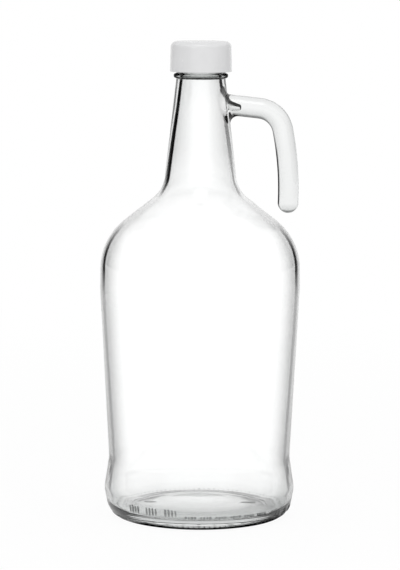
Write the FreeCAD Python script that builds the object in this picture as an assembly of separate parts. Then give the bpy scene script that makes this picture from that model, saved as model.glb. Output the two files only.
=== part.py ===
"""Glass jug with a hook handle and a plastic screw cap.

Millimetres, +Z up. The origin is the centre of the base, on the surface that the jug
stands on, and the handle hangs on the +X side. The glass is one blown piece: a hollow body
with a swollen foot, a pushed-up base and a tapering neck, and a solid hook handle into whose
root the hollow is drawn out as a small nose. The cap is a second, separate piece.
"""
import FreeCAD, Part
import math
import os
from collections import namedtuple

# Base and foot, outside
FOOT_RADIUS = 55.8           # corner where the foot is widest
FOOT_HEIGHT = 16.2
HEEL_TOP_INSET = 2.1         # from the foot in to the corner at the top of the heel
HEEL_TOP_HEIGHT = 5.1
HEEL_INSET = 7.3             # from the foot in to the heel's corner at the floor
BEARING_WIDTH = 4.9          # from that corner in to the inner edge of the bearing ring
PUSH_UP_RISE = 4.0           # height of the base's underside at its centre
PUSH_UP_RADIUS = 29.5        # edge of the raised disc under the base
PUSH_UP_EDGE = 3.2           # height of that edge
PUSH_UP_STEP = 7.5           # from that edge out to the foot of its slope
PUSH_UP_FOOT = 1.0           # height of the slope's foot

# Body, shoulder and neck, outside, as corners that the rounds below soften
WAIST_INSET = 2.8            # from the foot in to the waist
WAIST_HEIGHT = 34.5          # where the body grows out of the foot
BODY_RADIUS = 58.25
BODY_LENGTH = 99.2           # waist to the body's widest place
SHOULDER_INSET = 0.25        # from the widest place in to the corner above it
SHOULDER_LENGTH = 29.0       # widest place to that corner
SHOULDER_SLOPE = 38.0        # degrees above the horizontal
NECK_ROOT_RADIUS = 21.6
NECK_LENGTH = 65.0           # foot of the neck to the bead
NECK_TOP_RADIUS = 14.25

# Rounds on the outside and on the hollow beneath it
PUSH_UP_ROUND = 5.0
PUSH_UP_FOOT_ROUND = 10.0
BEARING_ROUND = 2.5
HEEL_ROUND = 4.5
HEEL_INNER_ROUND = 6.0
HEEL_TOP_ROUND = 10.0
FOOT_ROUND = 13.3
FOOT_INNER_ROUND = 9.5
WAIST_ROUND = 22.0
BODY_ROUND = 69.0
SHOULDER_ROUND = 35.5
NECK_ROOT_ROUND = 17.9

# Thickness of the glass
BASE_WALL = 4.2
FOOT_WALL = 2.8
BODY_WALL = 2.6
NECK_WALL = 2.8
FINISH_WALL = 3.05           # between the cap's seat and the bore

# Bead and finish at the top of the neck
BEAD_PROUD = 1.5             # how far the bead stands out of the neck
BEAD_HEIGHT = 2.8
FINISH_HEIGHT = 16.4         # bead to lip, the part that the cap covers
LIP_ROUND = 0.8

# Hook handle, a solid rod of glass
HANDLE_DIAMETER = 12.0
HANDLE_REACH = 51.1          # jug's axis to the middle of the grip where it bows out most
ARM_BELOW_BEAD = 13.6        # bead down to the middle of the arm, on the jug's axis
ARM_SLOPE = 6.3              # degrees that the arm falls as it goes out
ELBOW_RADIUS = 15.5          # to the middle of the rod
GRIP_RADIUS = 180.0          # gentle bow of the hanging part, to the middle of the rod
GRIP_TAIL = 7.0              # where the grip bows out most down to its tip's middle
TIP_CLEARANCE = 9.9          # the rounded tip's height above the shoulder's slope
ROOT_UPPER_ROUND = 1.8
ROOT_LOWER_ROUND = 4.2

# Nose of the hollow, drawn out into the root of the handle
NOSE_REACH = 7.6             # how far it goes past the neck's outside
NOSE_DROP = 0.7              # how far it lies under the arm's middle
NOSE_MOUTH_RADIUS = 5.6      # where it leaves the neck's inner face
NOSE_THROAT_RADIUS = 2.3
NOSE_THROAT_REACH = 0.9      # where the throat is, past the neck's outside
NOSE_TIP_RADIUS = 1.35
NOSE_ROUND = 5.0

# Screw cap
CAP_THREAD_ROOM = 1.95       # between the finish and the inside of the cap
CAP_SKIRT_WALL = 1.7
CAP_TOP_WALL = 2.0
CAP_TAPER = 0.4              # how much the skirt narrows towards the crown
CAP_CROWN_ROUND = 3.4
CAP_CLEARANCE = 0.9          # gap between the bead and the cap's rim
CAP_INNER_ROUND = 1.2

Corner = namedtuple("Corner", "radius height outer_round inner_round wall")


def on_outline(radius, height):
    """Return a point of the XZ plane, in which every outline is drawn."""
    return FreeCAD.Vector(radius, 0, height)


def rounded_line(corners):
    """Join corners (x, z, round) by straight lines and tangent arcs, as a list of edges.

    A corner without a round, or with a round of 0, stays sharp.
    """
    edges = []
    start = on_outline(*corners[0][:2])
    for before, corner, after in zip(corners, corners[1:], corners[2:]):
        apex = on_outline(*corner[:2])
        if len(corner) < 3 or corner[2] == 0:
            edges.append(Part.makeLine(start, apex))
            start = apex
            continue
        back = (on_outline(*before[:2]) - apex).normalize()
        ahead = (on_outline(*after[:2]) - apex).normalize()
        half_angle = back.getAngle(ahead) / 2
        setback = corner[2] / math.tan(half_angle)
        depth = corner[2] / math.sin(half_angle) - corner[2]
        arc_start = apex + back * setback
        arc_end = apex + ahead * setback
        arc_middle = apex + (back + ahead).normalize() * depth
        edges.append(Part.makeLine(start, arc_start))
        edges.append(Part.Arc(arc_start, arc_middle, arc_end).toShape())
        start = arc_end
    edges.append(Part.makeLine(start, on_outline(*corners[-1][:2])))
    return edges


def turned(corners):
    """Turn an outline that starts and ends on the Z axis into a solid of revolution."""
    edges = rounded_line(corners)
    edges.append(Part.makeLine(on_outline(*corners[-1][:2]), on_outline(*corners[0][:2])))
    face = Part.Face(Part.Wire(edges))
    return face.revolve(FreeCAD.Vector(0, 0, 0), FreeCAD.Vector(0, 0, 1), 360)


# Radii and heights that follow from the sizes above
HEEL_RADIUS = FOOT_RADIUS - HEEL_INSET
HEEL_TOP_RADIUS = FOOT_RADIUS - HEEL_TOP_INSET
BEARING_RADIUS = HEEL_RADIUS - BEARING_WIDTH
WAIST_RADIUS = FOOT_RADIUS - WAIST_INSET
SHOULDER_RADIUS = BODY_RADIUS - SHOULDER_INSET
BORE_RADIUS = NECK_TOP_RADIUS - FINISH_WALL
SHOULDER_GRADE = math.tan(math.radians(SHOULDER_SLOPE))
BODY_TOP = WAIST_HEIGHT + BODY_LENGTH
SHOULDER_HEIGHT = BODY_TOP + SHOULDER_LENGTH
NECK_ROOT_HEIGHT = SHOULDER_HEIGHT + (SHOULDER_RADIUS - NECK_ROOT_RADIUS) * SHOULDER_GRADE
BEAD_BOTTOM = NECK_ROOT_HEIGHT + NECK_LENGTH
BEAD_TOP = BEAD_BOTTOM + BEAD_HEIGHT
LIP_HEIGHT = BEAD_TOP + FINISH_HEIGHT

# The side of the jug from the foot to the neck's top: each corner's rounds outside and
# inside, and the wall of the stretch that leads up from it
SIDE = [
    Corner(FOOT_RADIUS, FOOT_HEIGHT, FOOT_ROUND, FOOT_INNER_ROUND, FOOT_WALL),
    Corner(WAIST_RADIUS, WAIST_HEIGHT, WAIST_ROUND, WAIST_ROUND + BODY_WALL, BODY_WALL),
    Corner(BODY_RADIUS, BODY_TOP, BODY_ROUND, BODY_ROUND - BODY_WALL, BODY_WALL),
    Corner(SHOULDER_RADIUS, SHOULDER_HEIGHT, SHOULDER_ROUND, SHOULDER_ROUND - BODY_WALL,
           BODY_WALL),
    Corner(NECK_ROOT_RADIUS, NECK_ROOT_HEIGHT, NECK_ROOT_ROUND, NECK_ROOT_ROUND + NECK_WALL,
           NECK_WALL),
    Corner(NECK_TOP_RADIUS, BEAD_BOTTOM, 0, 0, 0),
]


def neck_radius(height):
    """Return the neck's outside radius at a height between its root and its bead."""
    share = (height - NECK_ROOT_HEIGHT) / NECK_LENGTH
    return NECK_ROOT_RADIUS + share * (NECK_TOP_RADIUS - NECK_ROOT_RADIUS)


def push_up(lift):
    """Return the corners of the pushed-up base, from its centre outwards, raised by a lift."""
    return [
        (0, PUSH_UP_RISE + lift),
        (PUSH_UP_RADIUS, PUSH_UP_EDGE + lift, PUSH_UP_ROUND),
        (PUSH_UP_RADIUS + PUSH_UP_STEP, PUSH_UP_FOOT + lift, PUSH_UP_FOOT_ROUND),
    ]


def outer_form():
    """Return the jug without its handle, filled."""
    bead_radius = NECK_TOP_RADIUS + BEAD_PROUD
    bead_round = 0.45 * BEAD_HEIGHT
    return turned([
        *push_up(0),
        (BEARING_RADIUS, 0, BEARING_ROUND),
        (HEEL_RADIUS, 0, HEEL_ROUND),
        (HEEL_TOP_RADIUS, HEEL_TOP_HEIGHT, HEEL_TOP_ROUND),
        *[(corner.radius, corner.height, corner.outer_round) for corner in SIDE[:-1]],
        (NECK_TOP_RADIUS, BEAD_BOTTOM),
        (bead_radius, BEAD_BOTTOM, bead_round),
        (bead_radius, BEAD_TOP, bead_round),
        (NECK_TOP_RADIUS, BEAD_TOP),
        (NECK_TOP_RADIUS, LIP_HEIGHT, LIP_ROUND),
        (0, LIP_HEIGHT),
    ])


def inner_corner(before, corner, after):
    """Return where the inner faces of the two walls at a corner meet, as (radius, height)."""
    normals = []
    for start, end in ((before, corner), (corner, after)):
        run = math.hypot(end.radius - start.radius, end.height - start.height)
        normals.append(((start.height - end.height) / run, (end.radius - start.radius) / run))
    (ax, az), (bx, bz) = normals
    spread = ax * bz - az * bx
    across = (before.wall * bz - corner.wall * az) / spread
    up = (ax * corner.wall - bx * before.wall) / spread
    return corner.radius + across, corner.height + up


def hollow():
    """Return the space inside the glass, past the lip, without its nose.

    Inside, the foot runs straight on down to the base, without the heel's slanting corner.
    """
    foot_lean = HEEL_TOP_INSET / (FOOT_HEIGHT - HEEL_TOP_HEIGHT)
    sides = [
        Corner(BEARING_RADIUS, 0, 0, 0, BASE_WALL),
        Corner(FOOT_RADIUS - FOOT_HEIGHT * foot_lean, 0, 0, HEEL_INNER_ROUND, FOOT_WALL),
        *SIDE,
    ]
    side = [(*inner_corner(before, corner, after), corner.inner_round)
            for before, corner, after in zip(sides, sides[1:], sides[2:])]
    return turned([
        *push_up(BASE_WALL),
        *side,
        (BORE_RADIUS, BEAD_BOTTOM),
        (BORE_RADIUS, LIP_HEIGHT - LIP_ROUND),
        (BORE_RADIUS + LIP_ROUND, LIP_HEIGHT),
        (BORE_RADIUS + LIP_ROUND, LIP_HEIGHT + LIP_ROUND),
        (0, LIP_HEIGHT + LIP_ROUND),
    ])


def arm_height(x):
    """Return the height of the arm's middle at a distance from the jug's axis."""
    return BEAD_BOTTOM - ARM_BELOW_BEAD - x * math.tan(math.radians(ARM_SLOPE))


def handle_rod():
    """Return the hook: a round rod along arm, elbow and bowed grip, with a rounded tip."""
    slope = math.radians(ARM_SLOPE)
    rod_radius = HANDLE_DIAMETER / 2
    shoulder_below = NECK_ROOT_HEIGHT - (HANDLE_REACH - NECK_ROOT_RADIUS) * SHOULDER_GRADE
    bow_height = shoulder_below + TIP_CLEARANCE + rod_radius + GRIP_TAIL
    grip_centre = on_outline(HANDLE_REACH - GRIP_RADIUS, bow_height)

    # The elbow's centre is as far below the arm as it is inside the grip's bow.
    across = on_outline(math.cos(slope), -math.sin(slope))
    outward = on_outline(math.sin(slope), math.cos(slope))
    arm_line = on_outline(0, arm_height(0)) - outward * ELBOW_RADIUS
    to_line = arm_line - grip_centre
    half = to_line.dot(across)
    along = math.sqrt(half ** 2 - to_line.dot(to_line) + (GRIP_RADIUS - ELBOW_RADIUS) ** 2) - half
    elbow_centre = arm_line + across * along

    grip_start = (elbow_centre - grip_centre).normalize()
    elbow_middle = (outward + grip_start).normalize()
    tail_angle = math.asin(GRIP_TAIL / GRIP_RADIUS)
    tip = grip_centre + on_outline(math.cos(tail_angle), -math.sin(tail_angle)) * GRIP_RADIUS
    tip_direction = on_outline(-math.sin(tail_angle), -math.cos(tail_angle))

    arm_start = on_outline(0, arm_height(0))
    arm_end = elbow_centre + outward * ELBOW_RADIUS
    elbow_end = elbow_centre + grip_start * ELBOW_RADIUS
    path = Part.Wire([
        Part.makeLine(arm_start, arm_end),
        Part.Arc(arm_end, elbow_centre + elbow_middle * ELBOW_RADIUS, elbow_end).toShape(),
        Part.Arc(elbow_end, grip_centre + on_outline(1, 0) * GRIP_RADIUS, tip).toShape(),
    ])
    section = Part.Wire(Part.makeCircle(rod_radius, arm_start, across))
    rod = path.makePipeShell([section], True, False)
    ball = Part.makeSphere(rod_radius, tip, tip_direction)
    return rod.fuse(ball)


def nose():
    """Return the tapering end of the hollow that reaches into the root of the handle."""
    neck_outside = neck_radius(arm_height(NECK_TOP_RADIUS))
    reach = neck_outside + NOSE_REACH
    outline = rounded_line([
        (0, 0),
        (0, NOSE_MOUTH_RADIUS),
        (neck_outside - NECK_WALL, NOSE_MOUTH_RADIUS),
        (neck_outside + NOSE_THROAT_REACH, NOSE_THROAT_RADIUS, NOSE_ROUND),
        (reach, NOSE_TIP_RADIUS, 0.9 * NOSE_TIP_RADIUS),
        (reach, 0),
    ])
    outline.append(Part.makeLine(on_outline(reach, 0), on_outline(0, 0)))
    solid = Part.Face(Part.Wire(outline)).revolve(on_outline(0, 0), FreeCAD.Vector(1, 0, 0), 360)
    solid.rotate(on_outline(0, 0), FreeCAD.Vector(0, 1, 0), ARM_SLOPE)
    solid.translate(on_outline(0, arm_height(0) - NOSE_DROP))
    return solid


def with_rounded_root(glass):
    """Blend the handle into the neck, more fully under the arm than above it."""
    middle = arm_height(NECK_TOP_RADIUS)
    for edge in glass.Edges:
        box = edge.BoundBox
        crosses_arm = box.ZMin < middle < box.ZMax and box.YLength > 0.9 * HANDLE_DIAMETER / 2
        if crosses_arm and box.ZLength < 2 * HANDLE_DIAMETER and box.XMin > BORE_RADIUS:
            radii = [ROOT_LOWER_ROUND, ROOT_UPPER_ROUND]
            if edge.firstVertex().Z > edge.lastVertex().Z:
                radii.reverse()
            return glass.makeFillet(*radii, [edge])
    raise ValueError("the handle does not meet the neck")


def bottle():
    """Return the glass: body, neck and handle in one piece around the hollow."""
    glass = with_rounded_root(outer_form().fuse(handle_rod()).removeSplitter())
    return glass.cut(hollow().fuse(nose())).removeSplitter()


def cap():
    """Return the screw cap, whose top rests on the lip and whose skirt ends above the bead."""
    rim = BEAD_TOP + CAP_CLEARANCE
    inside = NECK_TOP_RADIUS + CAP_THREAD_ROOM
    outside = inside + CAP_SKIRT_WALL
    return turned([
        (0, LIP_HEIGHT),
        (inside, LIP_HEIGHT, CAP_INNER_ROUND),
        (inside, rim),
        (outside, rim),
        (outside - CAP_TAPER, LIP_HEIGHT + CAP_TOP_WALL, CAP_CROWN_ROUND),
        (0, LIP_HEIGHT + CAP_TOP_WALL),
    ])


def main():
    """Build each piece and write it to a file of its own."""
    os.makedirs("parts", exist_ok=True)
    for name, build in (("bottle", bottle), ("cap", cap)):
        shape = build()
        solids = shape.Solids
        if len(solids) != 1:
            raise ValueError(f"{name} came out as {len(solids)} solids")
        solids[0].exportStep(f"parts/{name}.step")
        box = solids[0].BoundBox
        print(f"{name}: {box.XLength:.1f} x {box.YLength:.1f} x {box.ZLength:.1f} mm,"
              f" {solids[0].Volume / 1000:.1f} cm3")


if __name__ == "__main__":
    main()
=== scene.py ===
import logging
import math
from dataclasses import dataclass
from enum import Enum
from functools import partialmethod
from typing import Any, Callable, Sequence

import bmesh
import bpy
import numpy as np
from bpy.types import Material, Mesh, Node, NodeSocket, NodeTree, Object
from mathutils import Euler, Matrix, Vector


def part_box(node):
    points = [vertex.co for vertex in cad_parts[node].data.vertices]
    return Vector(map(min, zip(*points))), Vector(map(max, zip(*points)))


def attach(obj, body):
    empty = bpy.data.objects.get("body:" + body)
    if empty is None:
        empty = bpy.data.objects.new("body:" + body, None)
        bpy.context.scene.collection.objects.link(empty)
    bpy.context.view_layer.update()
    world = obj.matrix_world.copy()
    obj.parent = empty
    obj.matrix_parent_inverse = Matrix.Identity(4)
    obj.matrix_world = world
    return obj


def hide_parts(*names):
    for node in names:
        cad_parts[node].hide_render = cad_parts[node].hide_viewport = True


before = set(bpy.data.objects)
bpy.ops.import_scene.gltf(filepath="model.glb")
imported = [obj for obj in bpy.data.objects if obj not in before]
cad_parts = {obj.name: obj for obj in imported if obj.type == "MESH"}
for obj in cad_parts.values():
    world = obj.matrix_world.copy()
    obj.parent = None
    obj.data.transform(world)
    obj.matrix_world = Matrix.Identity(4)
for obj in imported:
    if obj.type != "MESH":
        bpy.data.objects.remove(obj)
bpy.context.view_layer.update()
LOG = logging.getLogger("glass_jug")

MM = 0.001
FADE_RINGS = 8
WHITE = (1.0, 1.0, 1.0, 1.0)
NOISE_MIDDLE = (0.3, 0.7)
Pair = tuple[float, float]
Triple = tuple[float, float, float]


class Strength(Enum):
    """How strongly a lamp lights the studio, in watts."""

    KEY = 15.6
    FILL = 13.6


class Kind(Enum):
    """The kinds of size that a tree of nodes takes: its socket, and one unit of it."""

    COUNT = ("NodeSocketInt", 1)
    FLAG = ("NodeSocketBool", 1)
    TURNS = ("NodeSocketFloat", 1)
    LENGTH = ("NodeSocketFloat", MM)
    ANGLE = ("NodeSocketFloat", math.radians(1))


class Socket:
    """A number that flows through a node tree; Python's operators add Math nodes."""

    def __init__(self, graph: "Graph", output: NodeSocket) -> None:
        """Wrap an output socket.

        Args:
            graph: the graph that holds the socket's node.
            output: the socket that carries the number.
        """
        self.graph = graph
        self.output = output

    def _math(self, operation: str, *others: Any) -> "Socket":
        """Add a Math node over this number and others.

        Args:
            operation: the Math node's operation.
            *others: numbers or sockets, in the node's order.

        Returns:
            The result.
        """
        return self.graph.value("ShaderNodeMath", 0, {"operation": operation},
                                dict(enumerate((self, *others))))

    __add__ = __radd__ = partialmethod(_math, "ADD")
    __sub__ = partialmethod(_math, "SUBTRACT")
    __mul__ = partialmethod(_math, "MULTIPLY")
    __truediv__ = partialmethod(_math, "DIVIDE")
    __mod__ = partialmethod(_math, "FLOORED_MODULO")
    __abs__ = partialmethod(_math, "ABSOLUTE")
    __round__ = partialmethod(_math, "ROUND")
    most = partialmethod(_math, "MAXIMUM")
    least = partialmethod(_math, "MINIMUM")
    above = partialmethod(_math, "GREATER_THAN")
    sine = partialmethod(_math, "SINE")
    cosine = partialmethod(_math, "COSINE")

    def __rsub__(self, other: Any) -> "Socket":
        """Return the difference, this one taken away."""
        return self._math("MULTIPLY_ADD", -1.0, other)

    def __floordiv__(self, other: Any) -> "Socket":
        """Return the quotient, rounded down."""
        return (self / other)._math("FLOOR")

    def ramp(self, low: Any, high: Any, start: float = 0.0, end: float = 1.0) -> "Socket":
        """Ease from one value to another between two limits.

        Args:
            low: where the rise starts.
            high: where it ends.
            start: the result at and below low.
            end: the result at and above high.

        Returns:
            The eased value.
        """
        return self.graph.value("ShaderNodeMapRange", 0, {"interpolation_type": "SMOOTHSTEP"},
                                {"Value": self, "From Min": low, "From Max": high,
                                 "To Min": start, "To Max": end})

    def stripe(self) -> "Socket":
        """Return 1 near 0 and less away from it, down to 0 at 1 and at -1."""
        return ((1 - self * self) * 1.8).least(1.0).most(0.0)


class Graph:
    """A node tree, and short ways to fill it."""

    def __init__(self, tree: NodeTree) -> None:
        """Start from an empty tree.

        Args:
            tree: the tree, whose nodes are cleared.
        """
        self.tree = tree
        tree.nodes.clear()

    def add(self, kind: str, settings: dict[str, Any] | None = None,
            inputs: dict[Any, Any] | None = None) -> Node:
        """Add a node, set it up and link it.

        Args:
            kind: the node's type.
            settings: its properties, set before its sockets are touched.
            inputs: for each input, by its name or place, a number, colour, vector, Socket
                or output socket, or a node, which stands for its first output.

        Returns:
            The node.
        """
        node = self.tree.nodes.new(kind)
        for name, value in (settings or {}).items():
            setattr(node, name, value)
        for name, value in (inputs or {}).items():
            if isinstance(value, Socket):
                value = value.output
            if isinstance(value, Node):
                value = value.outputs[0]
            if isinstance(value, NodeSocket):
                self.tree.links.new(value, node.inputs[name])
            else:
                node.inputs[name].default_value = value
        return node

    def value(self, kind: str, output: Any = 0, settings: dict[str, Any] | None = None,
              inputs: dict[Any, Any] | None = None) -> Socket:
        """Add a node and return one of its outputs for use in sums.

        Args:
            kind: the node's type.
            output: the name or place of the output.
            settings: as for add.
            inputs: as for add.

        Returns:
            The output.
        """
        return Socket(self, self.add(kind, settings, inputs).outputs[output])

    def attribute(self, name: str) -> Socket:
        """Return the number that the mesh stores under a name."""
        return self.value("ShaderNodeAttribute", "Fac", {"attribute_name": name})

    def split(self, vector: Any) -> list[Socket]:
        """Return the three parts of a vector."""
        return [Socket(self, part)
                for part in self.add("ShaderNodeSeparateXYZ", None, {0: vector}).outputs]

    def path(self, *facts: str) -> list[Socket]:
        """Return facts about the ray that is followed, by the names of their sockets."""
        node = self.add("ShaderNodeLightPath")
        return [Socket(self, node.outputs[fact]) for fact in facts]

    def seen(self) -> Socket:
        """Return 1 for what the eye, a gloss or a glass sees."""
        eye, gloss, glass = self.path("Is Camera Ray", "Is Glossy Ray", "Is Transmission Ray")
        return eye.most(gloss).most(glass)

    def around(self, radius: Socket, angle: Socket, height: Socket) -> Node:
        """Return the place at a radius and an angle from the Z axis, and at a height."""
        return self.add("ShaderNodeCombineXYZ", None,
                        {"X": radius * angle.cosine(), "Y": radius * angle.sine(), "Z": height})

    def noise(self, place: Any, scale: float, **inputs: float) -> Socket:
        """Return a soft noise at a place, at a scale and with further inputs."""
        return self.value("ShaderNodeTexNoise", "Fac", None,
                          {"Vector": place, "Scale": scale, **inputs})

    def tinted(self, share: Socket, first: Any, second: Any) -> NodeSocket:
        """Return a mixture of two colours."""
        return self.add("ShaderNodeMix", {"data_type": "RGBA"},
                        {0: share, 6: first, 7: second}).outputs[2]

    def mixed(self, share: Any, first: Any, second: Any) -> Node:
        """Return a mixture of two shaders."""
        return self.add("ShaderNodeMixShader", None, {0: share, 1: first, 2: second})


def new_finish(name: str) -> tuple[Material, Graph, NodeSocket]:
    """Make an empty finish.

    Args:
        name: its name.

    Returns:
        The finish, its graph, and the socket that says where on the piece a point is.
    """
    material = bpy.data.materials.new(name)
    material.use_nodes = True
    graph = Graph(material.node_tree)
    return material, graph, graph.add("ShaderNodeTexCoord").outputs["Object"]


def shares(count: int) -> np.ndarray:
    """Return even shares of a way, from after its start to its end."""
    return np.linspace(0, 1, count + 1)[1:]


# ---------------------------------------------------------------- outlines

@dataclass(frozen=True)
class Corner:
    """A corner of a turned outline, in mm."""

    radius: float
    height: float
    round: float = 0.0
    inner_round: float = 0.0
    wall: float = 0.0

    def beneath(self, before: "Corner", after: "Corner") -> "Corner":
        """Return the corner of the inner face under this one.

        Args:
            before: the corner before it, whose wall leads up to this one.
            after: the corner after it.

        Returns:
            Where the inner faces of the two walls meet.
        """
        faces = []
        for start, end in ((before, self), (self, after)):
            run = math.hypot(end.radius - start.radius, end.height - start.height)
            faces.append(((start.height - end.height) / run,
                          (end.radius - start.radius) / run))
        (ax, az), (bx, bz) = faces
        spread = ax * bz - az * bx
        return Corner(self.radius + (before.wall * bz - self.wall * az) / spread,
                      self.height + (ax * self.wall - bx * before.wall) / spread,
                      self.inner_round)


def smooth_outline(corners: Sequence[Corner], step: float, turn: float = 9.0) -> np.ndarray:
    """Join corners by straight lines and tangent arcs, as closely spaced points.

    Args:
        corners: the corners in order; one without a round stays sharp.
        step: the longest distance between two points, in mm.
        turn: the largest angle of an arc between two points, in degrees.

    Returns:
        The points (radius, height), one row each.
    """
    places = [np.array((c.radius, c.height)) for c in corners]
    points = [places[0]]

    def run_to(end: np.ndarray) -> None:
        """Add evenly spaced points up to an end."""
        start = points[-1]
        count = max(1, math.ceil(float(np.linalg.norm(end - start)) / step - 1e-6))
        for share in shares(count):
            points.append(start + (end - start) * share)

    for index in range(1, len(corners) - 1):
        apex, size = places[index], corners[index].round
        if size == 0:
            run_to(apex)
            continue
        back = places[index - 1] - apex
        ahead = places[index + 1] - apex
        back, ahead = back / np.linalg.norm(back), ahead / np.linalg.norm(ahead)
        half = math.acos(float(np.clip(back @ ahead, -1, 1))) / 2
        centre = apex + (back + ahead) / np.linalg.norm(back + ahead) * size / math.sin(half)
        first = apex + back * size / math.tan(half)
        last = apex + ahead * size / math.tan(half)
        run_to(first)
        sweep = math.pi - 2 * half
        count = max(2, math.ceil(max(math.degrees(sweep) / turn, sweep * size / step)))
        start_ray, end_ray = (first - centre) / size, (last - centre) / size
        for share in shares(count):
            ray = (start_ray * math.sin((1 - share) * sweep)
                   + end_ray * math.sin(share * sweep)) / math.sin(sweep)
            points.append(centre + ray * size)
    run_to(places[-1])
    return np.array(points)


# ---------------------------------------------------------------- forms by nodes

class MeshMaker:
    """A tree of nodes that makes a mesh from named sizes and a finish."""

    NAME = ""
    SIZES: dict[str, Kind] = {}

    def __init__(self) -> None:
        """Build the tree."""
        self.tree = bpy.data.node_groups.new(self.NAME, "GeometryNodeTree")
        sockets = {"Geometry": "NodeSocketGeometry", "Material": "NodeSocketMaterial"}
        sockets.update({name: kind.value[0] for name, kind in self.SIZES.items()})
        for name, socket in sockets.items():
            self.tree.interface.new_socket(name=name, in_out="INPUT", socket_type=socket)
        self.tree.interface.new_socket(name="Geometry", in_out="OUTPUT",
                                       socket_type="NodeSocketGeometry")
        graph = Graph(self.tree)
        given = {socket.name: Socket(graph, socket)
                 for socket in graph.add("NodeGroupInput").outputs if socket.name}
        real = graph.add("GeometryNodeRealizeInstances", None, {0: self._form(graph, given)})
        dressed = graph.add("GeometryNodeSetMaterial", None,
                            {"Geometry": real, "Material": given["Material"]})
        graph.add("NodeGroupOutput", None, {0: dressed})

    def _form(self, graph: Graph, given: dict[str, Socket]) -> Node:
        """Add the nodes that make the form.

        Args:
            graph: the tree's graph.
            given: the tree's inputs.

        Returns:
            The node that ends with the form.
        """
        raise NotImplementedError

    def run(self, name: str, start: Mesh, material: Material,
            sizes: dict[str, Any]) -> Mesh:
        """Run the tree.

        Args:
            name: the mesh's name.
            start: the mesh that the tree starts from, which is used up.
            material: the finish.
            sizes: the tree's inputs, lengths in mm and angles in degrees.

        Returns:
            The plain mesh.
        """
        holder = bpy.data.objects.new(name + "_maker", start)
        bpy.context.collection.objects.link(holder)
        modifier = holder.modifiers.new("maker", "NODES")
        modifier.node_group = self.tree
        for item in self.tree.interface.items_tree:
            if item.in_out == "INPUT" and item.name == "Material":
                modifier[item.identifier] = material
            elif item.in_out == "INPUT" and item.name in self.SIZES:
                value, unit = sizes[item.name], self.SIZES[item.name].value[1]
                modifier[item.identifier] = value if unit == 1 else float(value) * unit
        seen = holder.evaluated_get(bpy.context.evaluated_depsgraph_get())
        mesh = bpy.data.meshes.new_from_object(seen)
        mesh.name = name
        mesh.materials.clear()
        mesh.materials.append(material)
        mesh.polygons.foreach_set("material_index", [0] * len(mesh.polygons))
        bpy.data.objects.remove(holder)
        bpy.data.meshes.remove(start)
        return mesh


class TurnedForm(MeshMaker):
    """Turns an outline about the Z axis, and can cut a thread on it."""

    NAME = "turned_form"
    SIZES = {"Segments": Kind.COUNT, "Close Seam": Kind.FLAG, "Thread Radius": Kind.LENGTH,
             "Thread Depth": Kind.LENGTH, "Thread Width": Kind.LENGTH,
             "Thread Pitch": Kind.LENGTH, "Thread Start": Kind.LENGTH,
             "Thread Turns": Kind.TURNS}
    MERGE = 1e-6

    def _form(self, graph: Graph, given: dict[str, Socket]) -> Node:
        """Lay the outline's points out as a grid, and bend the grid round the axis.

        Args:
            graph: the tree's graph.
            given: the tree's inputs.

        Returns:
            The node that ends with the form.
        """
        rings = graph.value("GeometryNodeAttributeDomainSize", "Point Count", None,
                            {"Geometry": given["Geometry"]})
        across = given["Segments"] + 1
        grid = graph.add("GeometryNodeMeshGrid", None,
                         {"Vertices X": rings, "Vertices Y": across})
        index = graph.value("GeometryNodeInputIndex")
        ring = (index + 0.5) // across
        share = (index - ring * across) / given["Segments"]
        angle = share * (2 * math.pi)
        sample = graph.add("GeometryNodeSampleIndex", {"data_type": "FLOAT_VECTOR"},
                           {"Geometry": given["Geometry"],
                            "Value": graph.add("GeometryNodeInputPosition"), "Index": ring})
        radius, _, height = graph.split(sample.outputs["Value"])
        radius = radius + self._thread(given, radius, height, share)
        turned = graph.add("GeometryNodeSetPosition", None,
                           {"Geometry": grid, "Position": graph.around(radius, angle, height)})
        return graph.add("GeometryNodeMergeByDistance", None,
                         {"Geometry": turned, "Selection": given["Close Seam"],
                          "Distance": self.MERGE})

    @staticmethod
    def _thread(given: dict[str, Socket], radius: Socket, height: Socket,
                share: Socket) -> Socket:
        """Return how far a helical ridge lifts the wall.

        Args:
            given: the tree's inputs.
            radius: the wall's radius.
            height: its height.
            share: the turn so far, from 0 to 1.

        Returns:
            The lift, 0 away from the threaded wall.
        """
        phase = (height - given["Thread Start"]) / given["Thread Pitch"] - share
        turn = round(phase)
        along = turn + share
        aside = abs(phase - turn) * given["Thread Pitch"] / given["Thread Width"]
        crest = aside.ramp(0.25, 0.5, 1.0, 0.0)
        ends = along.ramp(0.0, 0.12) * (given["Thread Turns"] - along).ramp(0.0, 0.12)
        on_wall = abs(radius - given["Thread Radius"]).ramp(0.00002, 0.00006, 1.0, 0.0)
        return given["Thread Depth"] * crest * ends * on_wall

    def make(self, name: str, outline: np.ndarray, material: Material,
             **sizes: Any) -> Mesh:
        """Turn an outline.

        Args:
            name: the mesh's name.
            outline: points (radius, height) in mm.
            material: the finish.
            **sizes: the tree's inputs in mm, with _ for each space in their names.

        Returns:
            The plain mesh.
        """
        chain = bpy.data.meshes.new(name + "_outline")
        chain.from_pydata([(r * MM, 0.0, z * MM) for r, z in outline],
                          [(i, i + 1) for i in range(len(outline) - 1)], [])
        return self.run(name, chain, material, {"Close Seam": True} | {
            key.replace("_", " "): value for key, value in sizes.items()})


def settle(form: bmesh.types.BMesh, mesh: Mesh) -> None:
    """Weld what touches, turn every face outwards and write a form to its mesh.

    Args:
        form: the form, which is freed.
        mesh: the mesh.
    """
    bmesh.ops.remove_doubles(form, verts=form.verts, dist=2e-6)
    bmesh.ops.dissolve_degenerate(form, dist=1e-7, edges=form.edges)
    bmesh.ops.recalc_face_normals(form, faces=form.faces)
    form.to_mesh(mesh)
    form.free()


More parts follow.
